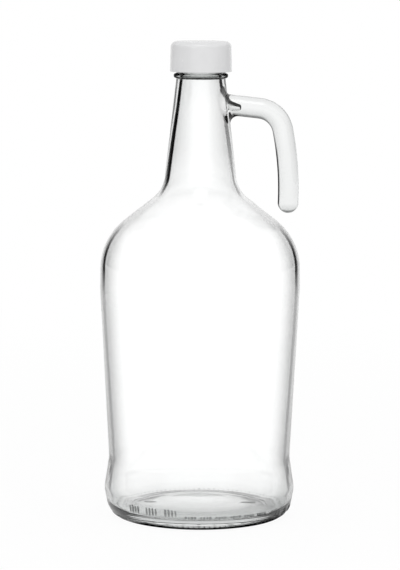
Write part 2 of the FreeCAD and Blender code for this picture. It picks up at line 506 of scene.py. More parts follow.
def show(name: str, mesh: Mesh) -> Object:
    """Put a mesh into the scene, smooth.

    Args:
        name: the piece's name.
        mesh: its mesh, in place.

    Returns:
        The piece.
    """
    piece = bpy.data.objects.new(name, mesh)
    bpy.context.collection.objects.link(piece)
    mesh.shade_smooth()
    return piece


# ---------------------------------------------------------------- finishes

@dataclass(frozen=True)
class ClearGlass:
    """Clear bottle glass, with painted shade: black mixed in by the angle at which a ray meets
    a face, in place of the dark surroundings that real glass bends into view.
    """

    tint: Triple = (0.988, 0.993, 0.992)
    # The colour that the glass darkens to: partly the tint of thick glass, partly painted
    # shade.
    deep_tint_and_shade: Triple = (0.48, 0.495, 0.49)
    ior: float = 1.5
    shadow_tint: Triple = (0.97, 0.97, 0.97)
    ripple: float = 0.04
    ripple_scale: float = 38.0
    image_fade: float = 0.85
    line_at: float = 0.2515
    line_width: float = 0.018
    fine_gain: float = 0.009
    shift_gain: float = 0.15
    steep_from: float = 0.14
    steep_run: float = 0.10
    wide_gain: float = 4.2
    nose_gain: float = 0.18
    mirror_starts: Pair = (0.262, 0.285)
    black_starts: Pair = (0.200, 0.228)
    black_ends: Pair = (0.292, 0.318)
    rim_starts: Pair = (0.60, 0.86)
    rim_gain: float = 0.24
    arc_width: float = 0.10
    arc_thinning: float = 0.075

    def material(self) -> Material:
        """Return the finish."""
        material, graph, place = new_finish("clear_bottle_glass")
        tone = graph.noise(place, self.ripple_scale, Detail=1.0, Roughness=0.4)
        streaked = graph.tinted(tone.ramp(*NOISE_MIDDLE), (*self.tint, 1.0), WHITE)
        # The colour darkens by the stored tint: partly the tint of thick glass, partly painted
        # shade.
        colour = graph.tinted(graph.attribute("glass_tint_and_shade"), streaked,
                              (*self.deep_tint_and_shade, 1.0))
        bump = graph.add("ShaderNodeBump", None,
                         {"Strength": self.ripple, "Distance": MM, "Height": tone})
        glass = graph.add("ShaderNodeBsdfPrincipled", None,
                          {"Base Color": colour, "Roughness": 0.0, "IOR": self.ior,
                           "Transmission Weight": 1.0, "Normal": bump})
        # Painted shade: a black diffuse that is mixed into the glass at its edges and lines.
        painted_black = graph.add("ShaderNodeBsdfDiffuse", None, {"Color": (0.0, 0.0, 0.0, 1.0)})
        clear = graph.add("ShaderNodeBsdfTransparent", None,
                          {"Color": (*self.shadow_tint, 1.0)})
        shadow, = graph.path("Is Shadow Ray")
        lit = graph.mixed(shadow.most(self._handle_image(graph)),
                          graph.mixed(self._painted_edge_shade(graph), glass, painted_black), clear)
        graph.add("ShaderNodeOutputMaterial", None, {"Surface": lit})
        return material

    def _handle_image(self, graph: Graph) -> Socket:
        """Return how much the handle fades where the jug's walls mirror it.

        A ray that a wall has turned back goes straight into the rod and out of it.

        Args:
            graph: the material's graph.

        Returns:
            The share of such a ray that passes, 0 for any other ray.
        """
        bounces, bends, passes = graph.path("Ray Depth", "Transmission Depth",
                                            "Transparent Depth")
        behind = graph.value("ShaderNodeNewGeometry", "Backfacing")
        turned = (bounces - bends).least(1.0)
        crossed = (1 - behind).most(passes.least(1.0))
        return graph.attribute("on_handle") * turned * crossed * self.image_fade

    def _painted_edge_shade(self, graph: Graph) -> Socket:
        """Return how much painted shade, black mixed into the glass, a face takes by the angle
        at which a ray meets it.

        Args:
            graph: the material's graph.

        Returns:
            The share of painted black.
        """
        facing = graph.value("ShaderNodeLayerWeight", "Facing", None, {"Blend": 0.5})
        behind = graph.value("ShaderNodeNewGeometry", "Backfacing")
        inner, line, core, fine, shift, nose, outer, arc, arc_at = map(graph.attribute, (
            "inner_edge", "inner_line", "inner_core", "line_fine", "line_out", "on_nose",
            "outer_edge", "outer_line", "outer_line_place"))
        spread = self.line_width - fine * self.fine_gain + shift * self.shift_gain
        thin = ((facing - self.line_at - shift) / spread).stripe()
        steep = ((facing - self.steep_from) / self.steep_run).most(0.0)
        wide = (fine * steep * steep + (1 - fine) * facing * self.wide_gain).least(1.0)
        wide = wide * facing.ramp(*self.mirror_starts, 1.0, 0.0)
        black = (facing - shift + nose * self.nose_gain).ramp(*self.black_starts)
        black = black * (facing - shift).ramp(*self.black_ends, 1.0, 0.0).most(nose)
        rim = (facing + outer * self.rim_gain).ramp(*self.rim_starts) * outer
        arc_width = self.arc_width - arc_at * self.arc_thinning
        arc = arc * ((facing - arc_at) / arc_width).stripe()
        # Painted shade: grey bands, a thin line and the neck's black on the inner face; a dark
        # rim and dark arcs on the outer face.
        return ((wide * inner).most(thin * line).most(black * core) * behind
                + rim.most(arc) * (1 - behind)).least(1.0)


@dataclass(frozen=True)
class WhitePlastic:
    """Smooth moulded polypropylene, off-white and softly glossy."""

    colour: Triple = (0.555, 0.555, 0.56)
    pale: Triple = (0.57, 0.57, 0.575)
    gloss: Pair = (0.20, 0.28)
    ior: float = 1.49
    cloud_scale: float = 120.0
    grain: float = 0.12
    grain_scale: float = 3200.0

    def material(self) -> Material:
        """Return the finish."""
        material, graph, place = new_finish("white_cap_plastic")
        cloud = graph.noise(place, self.cloud_scale, Detail=2.0)
        grain = graph.noise(place, self.grain_scale, Detail=2.0)
        bump = graph.add("ShaderNodeBump", None,
                         {"Strength": self.grain, "Distance": 0.1 * MM, "Height": grain})
        plastic = graph.add("ShaderNodeBsdfPrincipled", None, {
            "Base Color": graph.tinted(cloud.ramp(*NOISE_MIDDLE), (*self.colour, 1.0),
                                       (*self.pale, 1.0)),
            "Roughness": cloud.ramp(0.2, 0.8, *self.gloss), "IOR": self.ior, "Normal": bump})
        graph.add("ShaderNodeOutputMaterial", None, {"Surface": plastic})
        return material


@dataclass(frozen=True)
class PaleFloor:
    """A white sweep that shows white and still takes the jug's shadow."""

    own_light: float = 0.92
    colour: float = 0.85
    matt: Pair = (0.85, 0.95)
    mottle: float = 6.0
    fade: Pair = (0.15, 0.9)
    bent_gain: float = 0.12

    def material(self) -> Material:
        """Return the finish."""
        material, graph, place = new_finish("pale_floor")
        away = graph.value("ShaderNodeVectorMath", "Value", {"operation": "LENGTH"}, {0: place})
        matt = graph.add("ShaderNodeBsdfPrincipled", None, {
            "Base Color": (self.colour,) * 3 + (1.0,), "Specular IOR Level": 0.0,
            "Roughness": graph.noise(place, self.mottle).ramp(*NOISE_MIDDLE, *self.matt)})
        bent, = graph.path("Is Transmission Ray")
        white = graph.add("ShaderNodeEmission", None, {
            "Color": WHITE, "Strength": 1 + bent * self.bent_gain})
        share = graph.seen() * away.ramp(*self.fade, self.own_light, 1.0)
        graph.add("ShaderNodeOutputMaterial", None,
                  {"Surface": graph.mixed(share, matt, white)})
        return material


# ---------------------------------------------------------------- the glass

@dataclass
class GlassWall:
    """The turned wall: foot, body, shoulder, neck, bead and finish, outside and inside."""

    turner: TurnedForm
    push_up: tuple[Corner, ...] = (
        Corner(0, 3.8), Corner(15.0, 3.8, 300), Corner(32.0, 3.0, 45))
    bearing: Corner = Corner(43.6, 0, 2.5, 0, 4.2)
    heel: Corner = Corner(48.5, 0, 4.5)
    heel_top: Corner = Corner(53.7, 5.1, 10)
    side: tuple[Corner, ...] = (
        Corner(55.8, 16.2, 13.3, 9.5, 2.8), Corner(53, 34.5, 22, 24.6, 2.6),
        Corner(58.25, 133.7, 69, 66.4, 2.6), Corner(58, 162.7, 35.5, 32.9, 2.6),
        Corner(21.6, 191.139, 17.9, 20.7, 2.8))
    heel_inner_round: float = 6.0
    base_wall: float = 4.2
    neck_top: float = 14.25
    bead_bottom: float = 256.139
    bead_proud: float = 1.5
    bead_height: float = 2.8
    bore: float = 11.2
    bore_round: float = 6.0
    bead_fillet: float = 0.4
    bead_softness: float = 0.45
    finish_gap: float = 1.2
    lip_round: float = 0.8
    lip_gap: float = 0.5
    lip_depth: float = 3.0
    step: float = 1.7
    finish_step: float = 0.36
    lip_step: float = 0.6
    lip_turn: float = 12.0
    segments: int = 160

    @property
    def inside(self) -> list[Corner]:
        """Return the corners of the hollow from the base's edge to the neck's foot."""
        foot = self.side[0]
        lean = (foot.radius - self.heel_top.radius) / (foot.height - self.heel_top.height)
        corner = Corner(foot.radius - foot.height * lean, 0, 0, self.heel_inner_round,
                        foot.wall)
        line = [self.bearing, corner, *self.side, Corner(self.neck_top, self.bead_bottom)]
        return [c.beneath(b, a) for b, c, a in zip(line, line[1:], line[2:])]

    @property
    def lip(self) -> float:
        """Return the lip's height in mm, which is the top of the jug's own glass."""
        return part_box("bottle")[1][2] / MM

    def outline(self) -> np.ndarray:
        """Return the closed outline from the base's underside, over the lip, to its top."""
        bead = self.neck_top + self.bead_proud
        bead_top = self.bead_bottom + self.bead_height
        soft = self.bead_softness * self.bead_height
        start = Corner(self.neck_top, bead_top + self.finish_gap)
        end = Corner(self.neck_top, self.lip - self.lip_round - self.lip_gap)
        deep = Corner(self.bore, self.lip - self.lip_depth)
        outer = smooth_outline([
            *self.push_up, self.bearing, self.heel, self.heel_top, *self.side,
            Corner(self.neck_top, self.bead_bottom, self.bead_fillet),
            Corner(bead, self.bead_bottom, soft), Corner(bead, bead_top, soft),
            Corner(self.neck_top, bead_top, self.bead_fillet), start], self.step)
        finish = smooth_outline([start, end], self.finish_step)
        lip = smooth_outline([
            end, Corner(self.neck_top, self.lip, self.lip_round),
            Corner(self.bore, self.lip, self.lip_round), deep], self.lip_step, self.lip_turn)
        lifted = [Corner(c.radius, c.height + self.base_wall, c.round) for c in self.push_up]
        inner = smooth_outline([
            deep, Corner(self.bore, self.bead_bottom, self.bore_round),
            *reversed(self.inside), *reversed(lifted)], self.step)
        return np.concatenate([outer, finish[1:], lip[1:], inner[1:]])

    def mesh(self, material: Material) -> Mesh:
        """Turn the wall, with its seam left open for the handle's stitching.

        Args:
            material: the glass.

        Returns:
            The mesh, whose vertices run ring by ring.
        """
        return self.turner.make(
            "glass_wall", self.outline(), material, Segments=self.segments,
            Close_Seam=False, Thread_Radius=self.neck_top, Thread_Depth=1.1,
            Thread_Width=2.6, Thread_Pitch=4.2, Thread_Start=self.bead_bottom + 6.0,
            Thread_Turns=1.6)


class Branch:
    """Rings of points round an axis, stitched into a hole in a turned wall."""

    FIRST_GUESS = 15.0
    NEAREST = 2.0
    PASSES = 12

    def __init__(self, start: Pair, slope: float, drop: float = 0.0) -> None:
        """Set the axis.

        Args:
            start: where it leaves the jug's axis, (x, z) in mm.
            slope: how many degrees it falls as it goes out.
            drop: how far it lies under that line, in mm.
        """
        angle = math.radians(slope)
        self.origin = np.array((start[0], 0.0, start[1] - drop))
        self.along = np.array((math.cos(angle), 0.0, -math.sin(angle)))
        self.up = np.array((math.sin(angle), 0.0, math.cos(angle)))
        self.side = np.array((0.0, 1.0, 0.0))

    def polar(self, points: np.ndarray) -> tuple[np.ndarray, np.ndarray]:
        """Measure points about the axis.

        Args:
            points: one row each, in mm.

        Returns:
            Their distances from the axis and their angles from its upper side.
        """
        away = points - self.origin
        high, wide = away @ self.up, away @ self.side
        return np.hypot(high, wide), np.arctan2(wide, high)

    def place(self, reach: np.ndarray, radius: np.ndarray, angle: np.ndarray) -> np.ndarray:
        """Return the points at a reach along the axis and a distance from it.

        Args:
            reach: how far along the axis.
            radius: how far from it.
            angle: the angle from its upper side.

        Returns:
            The points, one row each.
        """
        return (self.origin + np.outer(reach, self.along)
                + np.outer(radius * np.cos(angle), self.up)
                + np.outer(radius * np.sin(angle), self.side))

    def on_cone(self, radius: np.ndarray, angle: np.ndarray,
                cone: Callable[[np.ndarray], np.ndarray]) -> np.ndarray:
        """Return the reach at which lines beside the axis leave a turned wall.

        Args:
            radius: each line's distance from the axis.
            angle: its angle.
            cone: the wall's radius at a height.

        Returns:
            The reaches.
        """
        reach = np.full(len(angle), self.FIRST_GUESS)
        for _ in range(self.PASSES):
            at = self.place(reach, radius, angle)
            miss = cone(at[:, 2]) ** 2 - at[:, 0] ** 2 - at[:, 1] ** 2
            reach = reach + miss / (2 * np.maximum(at[:, 0], self.NEAREST) * self.along[0])
        return reach


@dataclass
class HookHandle:
    """The solid hook: a rod along arm, elbow and bowed grip, blended into the neck."""

    wall: GlassWall
    rod: float = 6.0
    reach: float = 51.1
    arm_below_bead: float = 13.6
    slope: float = 6.3
    elbow: float = 15.5
    grip: float = 180.0
    tail: float = 7.0
    tip_above_slope: float = 9.9
    upper_round: float = 1.8
    lower_round: float = 4.2
    shoulder_grade: float = math.tan(math.radians(38.0))
    step: float = 1.6
    widest_root: float = 1.6
    halvings: int = 30
    mark: str = "on_handle"
    plain_rings: int = 6

    def neck(self, height: np.ndarray) -> np.ndarray:
        """Return the neck's outside radius at a height, in mm."""
        foot, top = self.wall.side[-1], self.wall.neck_top
        share = (height - foot.height) / (self.wall.bead_bottom - foot.height)
        return foot.radius + share * (top - foot.radius)

    @property
    def branch(self) -> Branch:
        """Return the arm's axis."""
        return Branch((0.0, self.wall.bead_bottom - self.arm_below_bead), self.slope)

    def rings(self, rim: np.ndarray) -> list[np.ndarray]:
        """Run from a hole's rim, over the rounded root, along the hook to its tip.

        Args:
            rim: the rim's points in order, in mm.

        Returns:
            The rings of points; the last one is the tip's single point.
        """
        branch = self.branch
        out, angle = branch.polar(rim)
        rounds = (self.upper_round
                  + (self.lower_round - self.upper_round) * np.abs(angle) / math.pi)

        def normal(radius: np.ndarray) -> np.ndarray:
            """Return the outward part of the wall's normal in each spoke's plane."""
            small = 0.01
            grade = (branch.on_cone(radius + small, angle, self.neck)
                     - branch.on_cone(radius - small, angle, self.neck)) / (2 * small)
            return -grade / np.hypot(grade, 1.0)

        low, high = np.full(len(angle), self.rod), self.rod + rounds * self.widest_root
        for _ in range(self.halvings):
            middle = (low + high) / 2
            short = middle + rounds * normal(middle) < self.rod + rounds
            low, high = np.where(short, middle, low), np.where(short, high, middle)
        touch = (low + high) / 2
        lean = np.arcsin(np.clip(normal(touch), -1, 1))
        centre = branch.on_cone(touch, angle, self.neck) + rounds * np.cos(lean)
        found = []
        for share in shares(6):
            radius = out + (touch - out) * share
            found.append(branch.place(branch.on_cone(radius, angle, self.neck), radius, angle))
        for share in shares(8):
            turn = (math.pi / 2 - lean) * (1 - share)
            radius = self.rod + rounds - rounds * np.cos(turn)
            found.append(branch.place(centre - rounds * np.sin(turn), radius, angle))

        arm_end, stations = self._stations()
        for share in shares(7):
            found.append(branch.place(centre + (arm_end - centre) * share, self.rod, angle))
        for middle, outward, radius in stations:
            found.append(middle + radius * (np.outer(np.cos(angle), outward)
                                            + np.outer(np.sin(angle), branch.side)))
        return found

    def _stations(self) -> tuple[float, list[tuple[np.ndarray, np.ndarray, float]]]:
        """Return where the arm ends, and each later ring's middle, outward way and radius."""
        branch = self.branch
        foot = self.wall.side[-1]
        slope_below = foot.height - (self.reach - foot.radius) * self.shoulder_grade
        bow = np.array((self.reach - self.grip, 0.0,
                        slope_below + self.tip_above_slope + self.rod + self.tail))
        line = branch.origin - branch.up * self.elbow
        gap = line - bow
        half = float(gap @ branch.along)
        arm_end = math.sqrt(half ** 2 - float(gap @ gap)
                            + (self.grip - self.elbow) ** 2) - half
        elbow = line + branch.along * arm_end
        away = (elbow - bow) / np.linalg.norm(elbow - bow)
        first = math.atan2(branch.up[2], branch.up[0])
        last = math.atan2(away[2], away[0])
        found = []

        def arc(centre: np.ndarray, size: float, start: float, end: float) -> None:
            """Add the stations of an arc after its start."""
            count = math.ceil(abs(end - start) * size / self.step)
            for turn in np.linspace(start, end, count + 1)[1:]:
                outward = np.array((math.cos(turn), 0.0, math.sin(turn)))
                found.append((centre + outward * size, outward, self.rod))

        arc(elbow, self.elbow, first, last)
        tip = -math.asin(self.tail / self.grip)
        arc(bow, self.grip, last, tip)
        middle, outward, _ = found[-1]
        ahead = np.array((outward[2], 0.0, -outward[0]))
        for turn in np.radians(np.linspace(0, 90, 13)[1:]):
            found.append((middle + ahead * self.rod * math.sin(turn), outward,
                          self.rod * max(math.cos(turn), 0.0)))
        return arm_end, found


@dataclass
class HollowNose:
    """The small nose of the hollow that is drawn out into the handle's root."""

    handle: HookHandle
    reach: float = 7.6
    drop: float = 0.7
    mouth: float = 5.6
    throat: float = 2.3
    throat_reach: float = 0.9
    tip: float = 1.1
    throat_round: float = 5.0
    upper_sweep: float = 6.0
    lower_sweep: float = 5.0
    side_sweep: float = 2.6
    wall_depth: float = 2.8
    mouth_lead: float = 0.3
    mouth_share: float = 0.94
    tip_share: float = 0.98
    step: float = 0.5
    turn: float = 15.0
    mark: str = "on_nose"
    plain_rings: int = 3

    @property
    def branch(self) -> Branch:
        """Return the nose's axis."""
        handle = self.handle
        return Branch((0.0, handle.wall.bead_bottom - handle.arm_below_bead), handle.slope,
                      self.drop / math.cos(math.radians(handle.slope)))

    def inner(self, height: np.ndarray) -> np.ndarray:
        """Return the bore's radius at a height of the neck, in mm."""
        wall = self.handle.wall
        foot = wall.inside[-1]
        share = (height - foot.height) / (wall.bead_bottom - foot.height)
        return foot.radius + share * (wall.bore - foot.radius)

    def rings(self, rim: np.ndarray) -> list[np.ndarray]:
        """Run from a hole's rim in the bore along the nose to its tip.

        Args:
            rim: the rim's points in order, in mm.

        Returns:
            The rings of points; the last one is the tip's single point.
        """
        branch = self.branch
        out, angle = branch.polar(rim)
        wall = self.handle.wall
        height = wall.bead_bottom - self.handle.arm_below_bead
        outside = float(self.handle.neck(np.array(
            [height - wall.neck_top * math.tan(math.radians(self.handle.slope))]))[0])
        found = []
        upright = np.where(np.cos(angle) > 0, self.upper_sweep, self.lower_sweep)
        start = (self.mouth + self.side_sweep
                 + (upright - self.side_sweep) * np.cos(angle) ** 2)
        for share in shares(5):
            radius = out + (start - out) * share
            found.append(branch.place(branch.on_cone(radius, angle, self.inner), radius, angle))
        profile = smooth_outline([
            Corner(self.mouth, outside - self.wall_depth + self.mouth_lead),
            Corner(self.throat, outside + self.throat_reach, self.throat_round),
            Corner(self.tip, outside + self.reach, self.tip_share * self.tip),
            Corner(0.0, outside + self.reach)], self.step, self.turn)
        bend = len(profile) // 5
        end_radius, end_reach = profile[bend]
        grade = profile[bend + 1] - profile[bend - 1]
        corner = np.full(len(angle), self.mouth * self.mouth_share)
        corner_reach = branch.on_cone(corner, angle, self.inner) * 0.5 + 0.5 * (
            end_reach - grade[1] / grade[0] * (end_radius - corner))
        start_reach = branch.on_cone(start, angle, self.inner)
        for share in shares(10):
            keep, pull, go = (1 - share) ** 2, 2 * share * (1 - share), share ** 2
            radius = keep * start + pull * corner + go * end_radius
            reach = keep * start_reach + pull * corner_reach + go * end_reach
            found.append(branch.place(reach, radius, angle))
        for radius, reach in profile[bend + 1:]:
            found.append(branch.place(np.full(len(angle), reach), radius, angle))
        return found


@dataclass
class GlassJug:
    """The whole glass piece: the turned wall with the handle and the nose stitched in."""

    turner: TurnedForm
    handle_spread: int = 20
    nose_spread: int = 21
    handle_span: Pair = (227.0, 252.0)
    nose_span: Pair = (226.0, 254.5)

    def build(self, material: Material) -> Object:
        """Make the piece.

        Args:
            material: the glass.

        Returns:
            The piece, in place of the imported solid.
        """
        wall = GlassWall(self.turner)
        handle = HookHandle(wall)
        nose = HollowNose(handle)
        outline = wall.outline()
        mesh = wall.mesh(material)
        form = bmesh.new()
        form.from_mesh(mesh)
        form.verts.layers.float.new("on_handle")
        form.verts.layers.float.new("on_nose")
        form.verts.ensure_lookup_table()
        across = wall.segments + 1
        top = int(np.argmax(outline[:, 1]))
        for sign, span, spread, branch in (
                (1, self.handle_span, self.handle_spread, handle),
                (-1, self.nose_span, self.nose_spread, nose)):
            side = range(0, top) if sign > 0 else range(top, len(outline))
            rows = [i for i in side if span[0] < outline[i, 1] < span[1]]
            self._stitch(form, rows, spread, across, wall.segments, branch)
        loose = [v for v in form.verts if not v.link_faces]
        bmesh.ops.delete(form, geom=loose, context="VERTS")
        settle(form, mesh)
        # Paint the shade that the glass finish reads.
        GlassPaintedShade(mesh).apply()
        piece = show("glass_jug", mesh)
        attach(piece, "root")
        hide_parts("bottle")
        return piece

    @staticmethod
    def _stitch(form: bmesh.types.BMesh, rows: list[int], spread: int, across: int,
                segments: int, branch: Any) -> None:
        """Open a hole on the +X side and join a branch's rings to its rim.

        Args:
            form: the turned wall, its vertices ring by ring.
            rows: the rings that the hole crosses, its edges among them.
            spread: the hole's half width in segments.
            across: the vertices of a ring.
            segments: the segments of a ring.
            branch: the handle or the nose.
        """
        def vertex(row: int, column: int) -> bmesh.types.BMVert:
            """Return the wall's vertex at a ring and a segment, which may be negative."""
            return form.verts[row * across + column % segments]

        columns = range(-spread, spread + 1)
        block = {vertex(row, column) for row in rows for column in columns}
        seam = {form.verts[row * across + segments] for row in rows}
        faces = [f for f in form.faces if all(v in block or v in seam for v in f.verts)]
        bmesh.ops.delete(form, geom=faces, context="FACES_ONLY")
        rim = ([vertex(rows[0], c) for c in columns]
               + [vertex(r, spread) for r in rows[1:]]
               + [vertex(rows[-1], c) for c in reversed(columns[:-1])]
               + [vertex(r, -spread) for r in reversed(rows[1:-1])])
        places = np.array([v.co[:] for v in rim]) / MM
        before = rim
        layer = form.verts.layers.float[branch.mark]
        for step, ring in enumerate(branch.rings(places)):
            now = [form.verts.new(Vector(p * MM)) for p in ring]
            for point in now:
                point[layer] = min(1.0, max(0.0, (step - branch.plain_rings) / FADE_RINGS))
            for i in range(len(rim)):
                j = (i + 1) % len(rim)
                form.faces.new((before[i], before[j], now[j], now[i]))
            before = now
        form.verts.ensure_lookup_table()


class GlassPaintedShade:
    """Painted shade on the glass: how dark it may turn, by where a point lies; tables give
    strengths by height.
    """

    # Tables of painted shade by height: grey bands, lines, the neck's black, a dark foot, a
    # dark bead and dark arcs.
    NECK = {189: 0, 197: 1}
    INNER = {0: 0.03, 12: 0.10, 20: 0.27, 40: 0.36, 70: 0.33, 130: 0.32, 145: 0.36,
             165: 0.22, 186: 0.14, 200: 0.14, 215: 0.23, 256: 0.23, 262: 0.8}
    LINE = {6: 0, 14: 0.3, 20: 0.7, 32: 0.62, 50: 0.60, 120: 0.56, 132: 0.58, 138: 0.8,
            143: 1, 158: 1, 162: 0.8, 169: 0.5, 173: 0, 186: 0.1, 190: 0.8, 195: 1}
    LINE_OUT = {55: 0, 110: 0.012, 186: 0.012, 192: 0.040, 200: 0.040, 224: 0.020, 240: 0}
    LINE_FINE = {180: 1, 190: 0}
    RIGHT = {192: 0.03, 197: 0.08, 205: 0.30, 214: 0.55, 230: 0.68, 240: 0.90, 245: 0.97}
    RIGHT_LOSS = {186: 0, 192: 0.45}
    MOUTH = {234: 0, 237: 1, 242: 1, 246: 0}
    # Painted shade: a dark contact ring at the foot, lighter on the left heel, and a dark bead.
    FOOT = {0: 1.7, 0.8: 1.5, 1.6: 1.1, 3.0: 0.85, 5.0: 0.35, 14: 0.12, 40: 0.05}
    HEEL_LEFT = {0: 0.8, 1: 1, 9: 1, 15: 0}
    BEAD = {256: 0, 256.4: 0.8, 258.6: 0.8, 259: 0}
    ARC = {23: 0, 28: 0.55, 31: 0.55, 36: 0, 60: 0.10, 130: 0.10, 135: 0.2, 143: 0.6,
           147: 0.9, 156: 0.9, 162: 0.6, 168: 0.3, 171: 0}
    NECK_ARC = {191: 0, 199: 0.80, 246: 0.80, 253: 0}
    ARC_PLACE = {180: 0.73, 200: 0.53, 250: 0.42}
    GRIP = {212: 0.95, 224: 0.62, 234: 0.50}
    # Tint by height: for the grip and the wall, partly the tint of thick glass and partly
    # painted shade, darkest at the foot; for the neck, painted shade under the bead and a bead
    # painted dark.
    GRIP_TINT_AND_SHADE = {175: 0.60, 181: 0.42, 230: 0.28}
    WALL_TINT_AND_SHADE = {0: 1, 3: 1, 7: 0.80, 12: 0.72, 16: 0.40, 22: 0.18, 30: 0.11, 65: 0.06,
             110: 0.02, 140: 0}
    NECK_PAINTED_SHADE = {186: 0, 205: 0.045, 215: 0.075, 240: 0.075, 255.9: 0.14, 256.4: 1,
                  258.7: 1, 259.2: 0}
    PALM = (22.0, 0.0, 205.0)
    NOSE_MOUTH = 18.5
    FOOT_INSIDE = 40
    HARDNESS = 8
    HEEL_FADE = 0.5
    BACK_FADE = 0.9
    ROOT_GAIN = 4.8

    def __init__(self, mesh: Mesh) -> None:
        """Read where each point lies, which way it faces and what it belongs to.

        Args:
            mesh: the finished glass.
        """
        self.mesh = mesh
        self.places = self._read(mesh.vertices, "co", 3) / MM
        self.normals = self._read(mesh.vertices, "normal", 3)
        self.on_rod = self._read(mesh.attributes["on_handle"].data, "value", 1)[:, 0]
        self.on_nose = self._read(mesh.attributes["on_nose"].data, "value", 1)[:, 0]
        self.away = np.hypot(self.places[:, 0], self.places[:, 1])
        around = self.places[:, :2] / np.maximum(self.away, 1)[:, None]
        self.outward = (self.normals[:, :2] * around).sum(axis=1)
        self.left, self.behind = 0.5 - 0.5 * around[:, 0], around[:, 1]
        self.heel_left = (np.clip((-around[:, 0] - 0.60) / 0.2, 0, 1)
                          * self._over(self.HEEL_LEFT))

    @staticmethod
    def _read(items: Any, name: str, width: int) -> np.ndarray:
        """Return a property of every item, one row each."""
        values = np.empty(len(items) * width, np.float32)
        items.foreach_get(name, values)
        return values.reshape(-1, width)

    def _over(self, table: dict[float, float]) -> np.ndarray:
        """Return a table's strength at each point's height."""
        return np.interp(self.places[:, 2], list(table), list(table.values()))

    def apply(self) -> None:
        """Store every painted shade and tint in the mesh, for the finish to read."""
        tones = {**self._inside(), **self._outside(), "glass_tint_and_shade": self._tint_and_painted_shade()}
        for name, values in tones.items():
            layer = self.mesh.attributes.new(name, "FLOAT", "POINT")
            layer.data.foreach_set("value", values.astype(np.float32))

    def _inside(self) -> dict[str, np.ndarray]:
        """Return the painted shade of the inner face: its grey bands, its line and the neck's
        black.
        """
        on_right = 1 - self.left
        mouth = 1 - self._over(self.MOUTH) * on_right
        line = (self._over(self.LINE) * mouth * (1 - self.on_nose)
                * (1 - on_right * self._over(self.RIGHT_LOSS)))
        core = self._over(self.NECK) * (self.left + self._over(self.RIGHT) * on_right) * mouth
        past_neck = np.clip((self.places[:, 0] - self.NOSE_MOUTH) / 2, 0, 1)
        above = np.clip(-2.2 * self.normals[:, 2] - 3.0 * self.normals[:, 0] * past_neck, 0, 1)
        return {"inner_edge": self._over(self.INNER), "inner_line": line,
                "inner_core": core + (above - core) * self.on_nose,
                "line_fine": self._over(self.LINE_FINE),
                "line_out": self._over(self.LINE_OUT)}

    def _outside(self) -> dict[str, np.ndarray]:
        """Return the painted shade of the outer face and the handle: their dark rims and their
        dark line.
        """
        to_palm = np.array(self.PALM) - self.places
        to_palm /= np.linalg.norm(to_palm, axis=1)[:, None]
        # Painted shade on the handle: darkest on faces turned towards the point PALM, inside
        # its loop, and at its root.
        palm_side = np.clip(0.5 + 0.8 * (self.normals * to_palm).sum(axis=1), 0, 1)
        # Painted shade at the foot and on the bead, on faces that turn out or down.
        out_or_down = np.maximum(self.outward, -self.normals[:, 2])
        foot = self._over(self.FOOT) * (1 - self.HEEL_FADE * self.heel_left)
        foot = (foot + self._over(self.BEAD)) * np.clip(out_or_down * self.HARDNESS, 0, 1)
        grip = self._over(self.GRIP) + self.ROOT_GAIN * self.on_rod * (1 - self.on_rod)
        # Painted dark arcs on the outer face.
        arc = (self._over(self.ARC)
               + self._over(self.NECK_ARC) * np.clip(4 * self.left - 2.4, 0, 1))
        return {"outer_edge": foot + (0.04 + palm_side ** 2 * grip - foot) * self.on_rod,
                "outer_line": arc * np.clip(self.outward * self.HARDNESS, 0, 1),
                "outer_line_place": self._over(self.ARC_PLACE)}

    def _tint_and_painted_shade(self) -> np.ndarray:
        """Return how far the glass is tinted: the tint of thick glass with painted shade,
        darkest at the foot, under the grip and on the bead, lighter on the back and the left
        heel.
        """
        down = -self.normals[:, 2]
        # Painted shade: the grip's underside darker, its top lighter.
        grip = (self._over(self.GRIP_TINT_AND_SHADE) + 0.60 * np.maximum(down, 0)
                - 0.17 * np.maximum(-down, 0))
        wall = (self._over(self.WALL_TINT_AND_SHADE) * np.clip((self.away - self.FOOT_INSIDE) / 6, 0, 1)
                * (1 - self.BACK_FADE * np.clip(1.5 * self.behind, 0, 1))
                * (1 - self.HEEL_FADE * self.heel_left))
        return wall + (grip - wall) * self.on_rod + self._over(self.NECK_PAINTED_SHADE)


# ---------------------------------------------------------------- moulded marks

